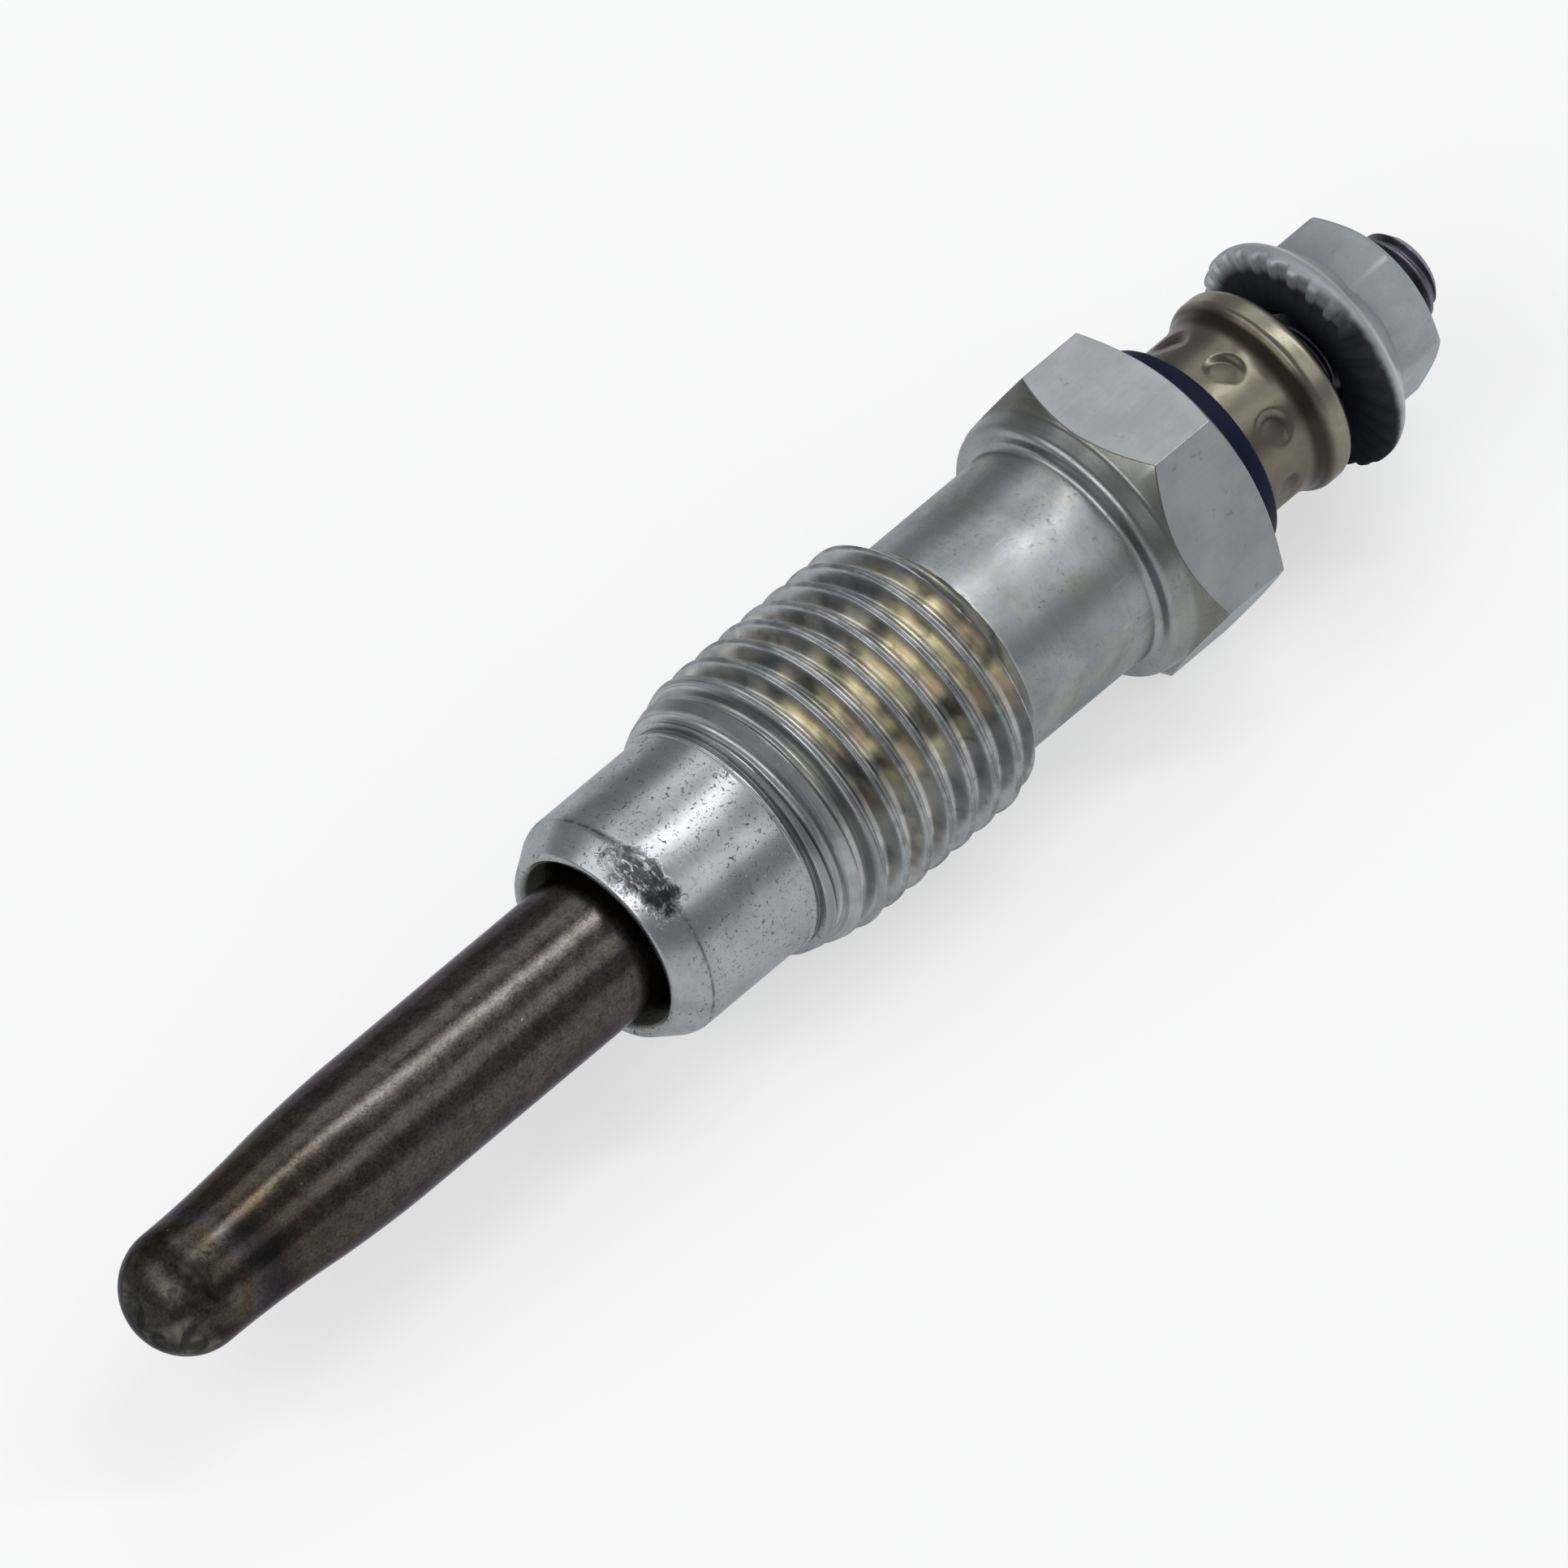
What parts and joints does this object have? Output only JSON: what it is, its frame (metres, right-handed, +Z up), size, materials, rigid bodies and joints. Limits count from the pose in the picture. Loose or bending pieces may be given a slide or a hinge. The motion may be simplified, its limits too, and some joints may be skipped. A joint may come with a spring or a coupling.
{
  "type": "diesel glow plug",
  "caption": "Sheathed-element diesel glow plug with a slim heater tube, sealing cone, fine screw thread, hexagon, crimped round nut and a flanged terminal nut on a threaded stud.",
  "frame": {"origin": "bottom centre of the bounding box: under the plug's axis, half-way along its length, on the surface it lies on", "axes": "+X along the plug's axis from the heater tip to the terminal, +Z up, square to the hexagon flat it lies on"},
  "size_m": [0.0702, 0.0138, 0.012],
  "materials": {
    "zinc_plated_steel": "satin blue-white zinc plate, turned",
    "sheath_alloy": "heat-tinted nickel alloy, satin and mottled",
    "heating_wire": "drawn resistance wire",
    "regulating_wire": "drawn nickel wire",
    "magnesia": "compacted powder, matt",
    "seal_rubber": "matt",
    "stud_steel": "dark plated steel, satin",
    "washer_plastic": "dark navy, satin",
    "round_nut_steel": "satin zinc plate with a faint yellow tint",
    "terminal_nut_steel": "satin zinc plate, pale blue-grey"
  },
  "bodies": {
    "root": {"plug_body": "zinc_plated_steel", "heater_sheath": "sheath_alloy", "heating_coil": "heating_wire", "regulating_coil": "regulating_wire", "insulating_powder": "magnesia", "sheath_seal": "seal_rubber", "terminal_stud": "stud_steel", "sealing_ring": "seal_rubber", "insulating_washer": "washer_plastic", "round_nut": "round_nut_steel", "terminal_nut": "terminal_nut_steel"}
  },
  "joints": []
}
